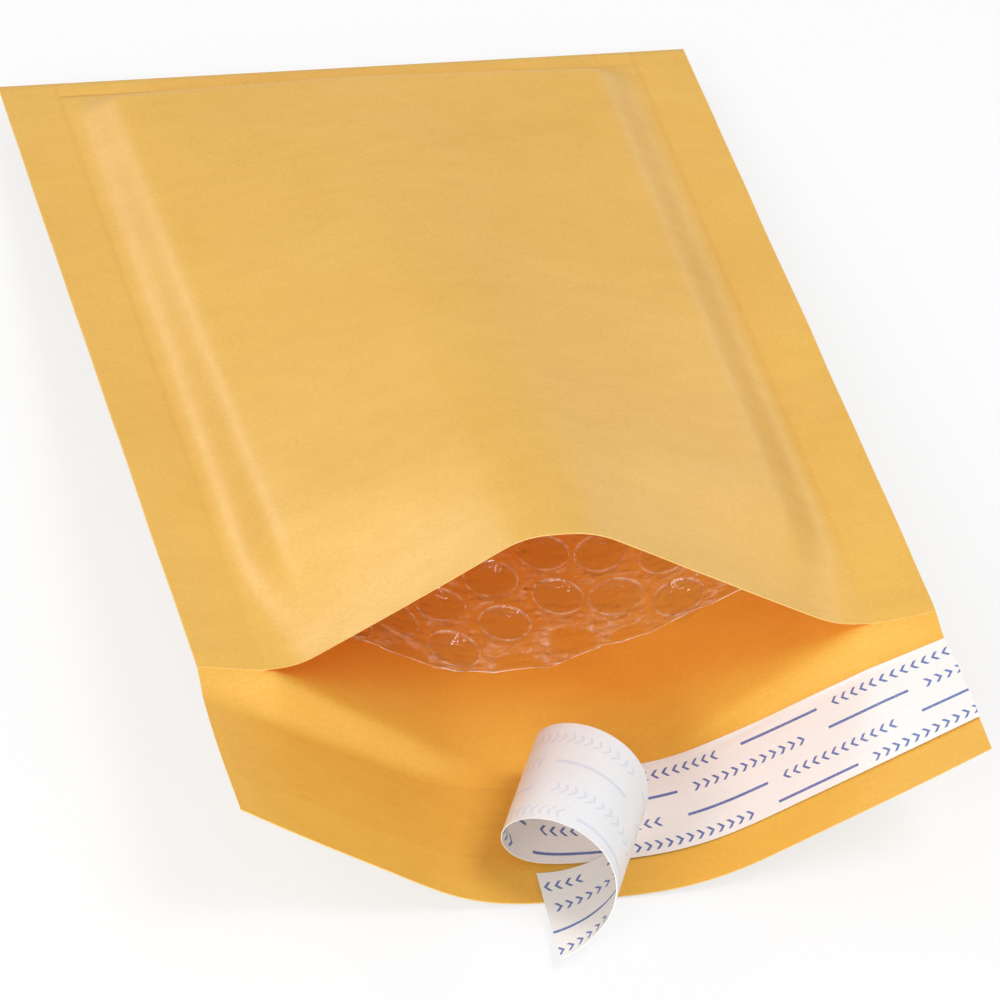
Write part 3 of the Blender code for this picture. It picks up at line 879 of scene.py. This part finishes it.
def lattice():
    """Flat places of one web's bubbles: the whole ones, and those that the cut opened."""
    half = PANEL_HALF - LINING_SIDE_GAP
    count = int(round(2 * half / (BUBBLE_PITCH * math.cos(math.radians(30)))))
    spacing = 2 * half / count
    start, stop = LENGTH - LINING_SETBACK, END_SEAM + LINING_END_GAP
    cells = int((start - stop) / BUBBLE_PITCH)
    pitch = (start - stop) / cells
    whole, opened = [], []
    for column in range(count):
        middle = (column + 0.5 - count / 2) * spacing
        u = middle + ROW_SHIFT * ease((half - abs(middle)) / 0.02)
        drop = ROW_DROP * ease((middle - 0.008) / 0.008)
        cut = film_cut(np.array([u]))[0]
        for cell in range(-1, cells):
            v = start - (cell + 0.5 + 0.5 * ((column + 1) % 2)) * pitch - drop
            if v - pitch / 2 < stop - 0.001 or v - 0.6 * BUBBLE_RADIUS > cut:
                continue
            spots = whole if v + 1.06 * BUBBLE_RADIUS < cut else opened
            spots.append((u, v))
    return np.array(whole), np.array(opened)


def off_bubbles(u, v, spots):
    """How far each flat place lies from the rim of the nearest bubble."""
    away = np.sqrt((u[:, None] - spots[None, :, 0]) ** 2 + (v[:, None] - spots[None, :, 1]) ** 2)
    return away.min(axis=1) - BUBBLE_RADIUS


def creases(u, v, whole, opened):
    """Folds of the slack film between its bubbles, and how milky each point is."""
    between = ease(off_bubbles(u, v, np.vstack([whole, opened])) / 0.0014)
    folds = np.array([noise.noise(Vector((a * 300, b * 480, 4.0))) for a, b in zip(u, v)])
    crease = (1 - np.minimum(np.abs(folds) * 5, 1.0)) * between
    arc = bump(off_bubbles(u, v, opened), 0.0007)
    milk = np.clip(between * 0.2 + crease * 0.3 + arc * 0.5, 0, 1)
    return FILM_CREASE * crease - FILM_DIP * arc, milk


def film_rows():
    """Places along one web from its fold to its cut, closer where the mouth shows them."""
    stop, cut = END_SEAM + LINING_END_GAP, LENGTH - CUT_SETBACK
    fine = cut - FINE_FILM_REACH
    deep = np.linspace(stop, fine, int((fine - stop) / DEEP_FILM_STEP))[:-1]
    near = np.linspace(fine, cut - CUT_WIDTH, int(FINE_FILM_REACH / FILM_STEP))
    return np.concatenate([deep, near, [cut]]), fine


def web_grid(face, towards, us):
    """The web's points, its ways into the pouch and its flat places, row by row."""
    rows, fine = film_rows()
    reach = (film_cut(us) - fine) / (rows[-1] - fine)
    places = np.where(rows[:, None] > fine, fine + (rows[:, None] - fine) * reach,
                      rows[:, None] * np.ones_like(us))
    samples = np.concatenate([rows, [rows[-1] + 0.002]])
    lines = [lining_line(face, towards, us, v, BUBBLE_HEIGHT) for v in samples]
    made = []
    for grid in map(np.array, zip(*lines)):
        read = [[np.interp(places[:, i], samples, grid[:, i, axis]) for axis in range(3)]
                for i in range(len(us))]
        made.append(np.array(read).transpose(2, 0, 1))
    return *made, places


def film_web(bm, layers, weld_layer, whole, opened):
    """The flat web of film, creased between its bubbles, with its cut edges."""
    half = PANEL_HALF - LINING_SIDE_GAP
    us = np.linspace(-half, half, int(2 * half / FILM_STEP))
    inner, outer = [], []

    def add_row(points, into, rise, milk, side):
        for rows, height in ((inner, rise + FILM), (outer, rise)):
            line = points + into * height[:, None]
            made = vertex_row(bm, line, layers[1], us, side)
            for vertex, amount in zip(made, milk):
                vertex[weld_layer] = float(amount)
            rows.append(made)

    def add_panel(face, towards, sign):
        points, into, places = web_grid(face, towards, us)
        order = range(len(points)) if sign < 0 else reversed(range(len(points)))
        for k in order:
            rise, milk = creases(us, places[k], whole, opened)
            from_cut = film_cut(us) - places[k]
            rise = rise + CUT_LIFT * bump(from_cut, 0.0015)
            if k == len(points) - 1:
                milk = np.full_like(milk, 1.0)
            add_row(points[k], into[k], rise, milk, sign * float(places[k].mean()))
        return points[0]

    low = add_panel(back_face, 1, 1)
    high = web_grid(front_point, -1, us)[0][0]
    for share in (0.2, 0.4, 0.6, 0.8):
        points = low + (high - low) * share
        points[:, 1] += FOLD_DEPTH * math.sin(math.pi * share)
        into = np.zeros_like(points)
        into[:, 1] = -1.0
        add_row(points, into, np.zeros(len(us)), np.zeros(len(us)), 0.0)
    add_panel(front_point, -1, -1)
    loft(bm, inner)
    loft(bm, outer)
    for end in (0, -1):
        loft(bm, [inner[end], outer[end]])
        loft(bm, [[row[end] for row in inner], [row[end] for row in outer]])


def bubble_form():
    """One closed bubble of unit radius and height, puffed out on both faces of the web."""
    bm = bmesh.new()
    weld = bm.verts.layers.float.new("weld")
    rings = []
    for radius, height, amount in BUBBLE_PROFILE:
        ring = []
        for k in range(BUBBLE_SIDES):
            angle = 2 * math.pi * k / BUBBLE_SIDES
            vertex = bm.verts.new((radius * math.cos(angle), radius * math.sin(angle), height))
            vertex[weld] = amount
            ring.append(vertex)
        rings.append([*ring, ring[0]])
    loft(bm, rings)
    for ring, height in ((rings[0], INNER_CROWN), (rings[-1], 1.0)):
        crown = bm.verts.new((0, 0, height))
        for one, other in zip(ring[:-1], ring[1:]):
            bm.faces.new([one, other, crown])
    bmesh.ops.recalc_face_normals(bm, faces=bm.faces)
    return bpy.data.objects.new("bubble_form", mesh_from("bubble_form", bm))


def bubble_tree():
    """Puts a bubble on every spot, turned to its facing and pressed by its height."""
    tree = bpy.data.node_groups.new("bubbles_on_web", "GeometryNodeTree")
    for label, kind in (("Spots", "NodeSocketGeometry"), ("Bubble", "NodeSocketObject"),
                        ("Film", "NodeSocketMaterial")):
        tree.interface.new_socket(label, in_out="INPUT", socket_type=kind)
    tree.interface.new_socket("Bubbles", in_out="OUTPUT", socket_type="NodeSocketGeometry")
    entry, out = tree.nodes.new("NodeGroupInput"), tree.nodes.new("NodeGroupOutput")

    def named(name):
        return node(tree, "GeometryNodeInputNamedAttribute", {"Name": name},
                    data_type="FLOAT_VECTOR").outputs["Attribute"]

    form = node(tree, "GeometryNodeObjectInfo", {"Object": entry.outputs["Bubble"]})
    turned = node(tree, "FunctionNodeAxesToRotation",
                  {"Primary Axis": named("facing"), "Secondary Axis": named("run")},
                  primary_axis="Z", secondary_axis="Y")
    points = node(tree, "GeometryNodeMeshToPoints", {"Mesh": entry.outputs["Spots"]})
    placed = node(tree, "GeometryNodeInstanceOnPoints",
                  {"Points": points.outputs[0], "Instance": form.outputs["Geometry"],
                   "Rotation": turned.outputs[0], "Scale": named("size")})
    real = node(tree, "GeometryNodeRealizeInstances", {0: placed.outputs[0]})
    coated = node(tree, "GeometryNodeSetMaterial", {"Geometry": real.outputs[0],
                                                    "Material": entry.outputs["Film"]})
    tree.links.new(coated.outputs[0], out.inputs[0])
    return tree


def film_bubbles(spots, film):
    """Both webs' bubbles as one mesh."""
    mesh = bpy.data.meshes.new("bubble_spots")
    points, facing, run, size = [], [], [], []
    for face, towards in ((back_face, 1), (front_point, -1)):
        for k, (u, v) in enumerate(spots):
            u = np.array([u])
            at, into = lining_line(face, towards, u, v, BUBBLE_HEIGHT)
            ahead = (face(u, v + 0.001) - face(u, v - 0.001))[0]
            ahead /= np.linalg.norm(ahead)
            lean = Vector((k * 1.7, towards, 0.5))
            height = BUBBLE_HEIGHT * float(press(u, v)[0])
            points.append(at[0])
            facing.append(-into[0])
            run.append(ahead + BUBBLE_TURN * noise.noise(lean) * np.cross(into[0], ahead))
            size.append((BUBBLE_RADIUS * (0.95 + 0.09 * noise.noise(lean * 1.3)),
                         BUBBLE_RADIUS * (1.01 + 0.07 * noise.noise(lean * 2.1)),
                         height * (0.93 + 0.07 * noise.noise(lean))))
    mesh.from_pydata([Vector(p) for p in points], [], [])
    for name, values in (("facing", facing), ("run", run), ("size", size)):
        attribute = mesh.attributes.new(name, "FLOAT_VECTOR", "POINT")
        attribute.data.foreach_set("vector", np.array(values, dtype=np.float32).ravel())
    holder = put_in_scene("bubble_spots", mesh)
    form = bubble_form()
    tree = bubble_tree()
    modifier = holder.modifiers.new("bubbles", "NODES")
    modifier.node_group = tree
    for label, value in (("Bubble", form), ("Film", film)):
        modifier[tree.interface.items_tree[label].identifier] = value
    bpy.context.view_layer.update()
    depsgraph = bpy.context.evaluated_depsgraph_get()
    made = bpy.data.meshes.new_from_object(holder.evaluated_get(depsgraph))
    bpy.data.objects.remove(holder)
    bpy.data.objects.remove(form)
    return made


def bubble_film(film):
    """The folded lining of bubble film."""
    bm = bmesh.new()
    layers = map_layers(bm)
    weld_layer = bm.verts.layers.float.new("weld")
    whole, opened = lattice()
    film_web(bm, layers, weld_layer, whole, opened)
    complete(bm, *layers)
    bubbles = film_bubbles(whole, film)
    bm.from_mesh(bubbles)
    bpy.data.meshes.remove(bubbles)
    for face in bm.faces:
        face.material_index = 0
    place(mesh_from("bubble_film", bm), [film], FILM_SHARP, "bubble_lining")


# Adhesive and liner


def on_flap(u, w, height):
    """Points at a height over the flap's upper face, w past the mouth."""
    return raised(back_bottom(u, LENGTH + w), PLY + height)


def adhesive_bead(material):
    """The band of adhesive across the flap."""
    bm = bmesh.new()
    layers = map_layers(bm)
    half = WIDTH / 2 - ADHESIVE_INSET
    us = np.linspace(-half, half, 120)
    upper, lower = [], []
    for b in np.linspace(ADHESIVE_INSET, STRIP_WIDTH - ADHESIVE_INSET, 22):
        w = STRIP_SETBACK + b
        pooled = ADHESIVE_POOL * uneven(us, w, 0.004, 21.0)
        for rows, height in ((upper, ADHESIVE + pooled),
                             (lower, -PLY + PAPER + ADHESIVE_CLEARANCE)):
            line = on_flap(us, w, height)
            rows.append(vertex_row(bm, line, layers[1], us, LENGTH + w))
    for rows in slab_rows(upper, lower):
        loft(bm, rows)
    complete(bm, *layers)
    place(mesh_from("adhesive_bead", bm), [material], SHEET_SHARP, "adhesive_strip")


def slab_rows(upper, lower):
    """The lofts that make a closed slab of two faces."""
    return [upper, lower, [upper[0], lower[0]], [upper[-1], lower[-1]],
            [[row[0] for row in upper], [row[0] for row in lower]],
            [[row[-1] for row in upper], [row[-1] for row in lower]]]


def curl_profile():
    """Run and rise of the peeled liner, square to its rulings, against its own length."""
    step = 1.2 * PEELED_LENGTH / PROFILE_STEPS
    length, run, rise, heading = [0.0], [0.0], [0.0], 0.0
    for i in range(PROFILE_STEPS):
        reach = (i + 0.5) * step
        bend = (1 - CURL_FLATNESS * math.cos(2 * (heading - CURL_LEAN))) / CURL_RADIUS
        bend *= ease(reach / CURL_LEAD_IN) * (1 - CURL_SLACK * reach)
        heading += bend * step
        length.append(length[-1] + step)
        run.append(run[-1] + math.cos(heading) * step)
        rise.append(rise[-1] + math.sin(heading) * step)
    return length, run, rise


def liner_rows():
    """The liner's lower face, row by row across its width."""
    cos_skew, sin_skew = math.cos(PEEL_SKEW), math.sin(PEEL_SKEW)
    peel_middle = WIDTH - PEELED_LENGTH
    forward = Vector((-cos_skew, sin_skew, 0.0))
    ruling = Vector((-sin_skew, -cos_skew, math.tan(CURL_PITCH))).normalized()
    upward = forward.cross(ruling)
    lengths, run, climb = curl_profile()
    lines = []
    for b in np.linspace(0, STRIP_WIDTH, int(STRIP_WIDTH / LINER_STEP)):
        w = STRIP_SETBACK + b
        peel = peel_middle + (b - STRIP_WIDTH / 2) * math.tan(PEEL_SKEW)
        stuck = np.linspace(0.0, peel, int(peel_middle / LINER_STEP))
        lying = on_flap(WIDTH / 2 - stuck, w, LINER_CLEARANCE)
        free = np.linspace(peel, WIDTH, int(PEELED_LENGTH / LINER_STEP))[1:]
        bent = (free - peel) * cos_skew
        slide = (free - peel) * sin_skew
        ahead, up = np.interp(bent, lengths, run), np.interp(bent, lengths, climb)
        curled = (lying[-1] + slide[:, None] * np.array(ruling)
                  + ahead[:, None] * np.array(forward) + up[:, None] * np.array(upward))
        lines.append((b, np.concatenate([stuck, free]), np.vstack([lying, curled])))
    return lines


def release_strip(materials):
    """The liner, stuck down on the right and peeled into one turn of a helix at the left."""
    bm = bmesh.new()
    layers = map_layers(bm)
    lines = liner_rows()
    grid = np.array([points for _, _, points in lines])
    along_way = np.gradient(grid, axis=1)
    across_way = np.gradient(grid, axis=0)
    normal = np.cross(across_way, along_way)
    normal /= np.linalg.norm(normal, axis=2)[:, :, None]
    if normal[0, 0, 2] < 0:
        normal = -normal
    upper, lower = [], []
    for k, (b, places, points) in enumerate(lines):
        top = points + normal[k] * LINER
        for rows, line in ((upper, top), (lower, points)):
            rows.append(vertex_row(bm, line, layers[1], places - MAP_MIDDLE, b))
    for index, rows in enumerate(slab_rows(upper, lower)):
        loft(bm, rows, 1 if index == 1 else 0)
    complete(bm, *layers)
    place(mesh_from("release_strip", bm), materials, SHEET_SHARP, "release_liner")


# Studio


def table_top():
    """A plain pale floor that keeps the object's shadow."""
    bm = bmesh.new()
    bmesh.ops.create_circle(bm, cap_ends=True, segments=96, radius=FLOOR_RADIUS)
    made = put_in_scene("table_top", mesh_from("table_top", bm))
    made.location.z = -FLOOR_GAP
    floor, tree, shader, out = surface("pale_floor")
    feed(tree, shader, {"Base Color": (0.90, 0.90, 0.90, 1.0), "Roughness": 0.9,
                        "Specular IOR Level": 0.1})
    rays = node(tree, "ShaderNodeLightPath")
    glow = node(tree, "ShaderNodeEmission", {"Color": (1, 1, 1, 1), "Strength": 1.0})
    share = times(tree, rays.outputs["Is Camera Ray"], FLOOR_GLOW)
    mixed = node(tree, "ShaderNodeMixShader", {0: share, 1: shader.outputs[0],
                                               2: glow.outputs[0]})
    feed(tree, out, {"Surface": mixed.outputs[0]})
    made.data.materials.append(floor)
    made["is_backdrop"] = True


def white_room():
    """Soft light from all round, and white where the camera and mirrors look."""
    world = bpy.data.worlds.new("white_room")
    bpy.context.scene.world = world
    world.use_nodes = True
    tree = world.node_tree
    rays = node(tree, "ShaderNodeLightPath")
    seen = calc(tree, "MAXIMUM", rays.outputs["Is Camera Ray"],
                rays.outputs["Is Transmission Ray"])
    strength = remap(tree, seen, 0.0, 1.0, ROOM_LIGHT, 1.0)
    feed(tree, tree.nodes["Background"], {"Color": (1, 1, 1, 1), "Strength": strength})


def soft_box(name, place_at, aim, size, power):
    """A rectangular lamp aimed at a point."""
    lamp = bpy.data.lights.new(name, "AREA")
    lamp.shape = "RECTANGLE"
    lamp.size, lamp.size_y = size
    lamp.energy = power
    made = put_in_scene(name, lamp)
    made.location = place_at
    way = Vector(aim) - Vector(place_at)
    made.rotation_euler = way.to_track_quat("-Z", "Y").to_euler()


def camera():
    """The camera looks steeply down at the mouth, from slightly to its left."""
    a, e, r = CAMERA_AZIMUTH, CAMERA_HEIGHT_ANGLE, CAMERA_ROLL
    back = Vector((math.sin(a) * math.cos(e), -math.cos(a) * math.cos(e), math.sin(e)))
    level = Vector((math.cos(a), math.sin(a), 0.0))
    upright = back.cross(level)
    right = level * math.cos(r) + upright * math.sin(r)
    up = upright * math.cos(r) - level * math.sin(r)
    where = back * CAMERA_DISTANCE + right * CAMERA_OFFSET[0] + up * CAMERA_OFFSET[1]
    turn = Matrix((right, up, back)).transposed().to_4x4()
    data = bpy.data.cameras.new("view_camera")
    data.sensor_width = SENSOR
    data.lens = LENS
    data.clip_start = 0.05
    data.clip_end = 20.0
    made = put_in_scene("view_camera", data)
    made.matrix_world = Matrix.Translation(where + Vector(CAMERA_AIM)) @ turn
    bpy.context.scene.camera = made


def studio():
    table_top()
    white_room()
    for lamp in LAMPS:
        soft_box(*lamp)
    camera()


def corners():
    """Lowest and highest corner of what is shown, as plain numbers."""
    return [[float(x) for x in corner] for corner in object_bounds()]


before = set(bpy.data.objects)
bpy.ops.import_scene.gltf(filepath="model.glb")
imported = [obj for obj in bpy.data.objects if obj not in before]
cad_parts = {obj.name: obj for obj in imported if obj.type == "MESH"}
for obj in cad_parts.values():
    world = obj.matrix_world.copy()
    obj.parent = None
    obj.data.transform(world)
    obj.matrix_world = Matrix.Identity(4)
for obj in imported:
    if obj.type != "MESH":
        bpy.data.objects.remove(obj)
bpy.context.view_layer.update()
END_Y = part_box("kraft_envelope")[1].y
fibre_group = paper_fibres_group()
mark_group = liner_marks_group()
# The painted shade along the padding's creases is its own node group
crease_shade_tree = painted_crease_shade_group()
kraft_sheet([kraft_paper(fibre_group, crease_shade_tree, *finish)
             for finish in (("kraft_paper", KRAFT_LIGHT, KRAFT_DARK, 0.41),
                            # The cut edges are painted pale: their core fibres and a painted
                            # highlight
                            ("cut_kraft", KRAFT_CORE_AND_HIGHLIGHT, KRAFT_LIGHT, 0.8),
                            ("inner_kraft", INSIDE_LIGHT, INSIDE_DARK, 0.6))])
bubble_film(clear_film())
adhesive_bead(clear_adhesive())
release_strip([liner_paper(fibre_group, mark_group, *finish)
               for finish in (("liner_face", INK_BLUE, 0.92, LINER_WARM),
                              ("liner_back", INK_THROUGH, 0.5, LINER_WHITE))])
studio()
bpy.context.scene.view_settings.view_transform = "Standard"
rendering = bpy.context.scene.cycles
rendering.transparent_max_bounces = 20
rendering.max_bounces = 6
rendering.diffuse_bounces = 3
rendering.glossy_bounces = 2
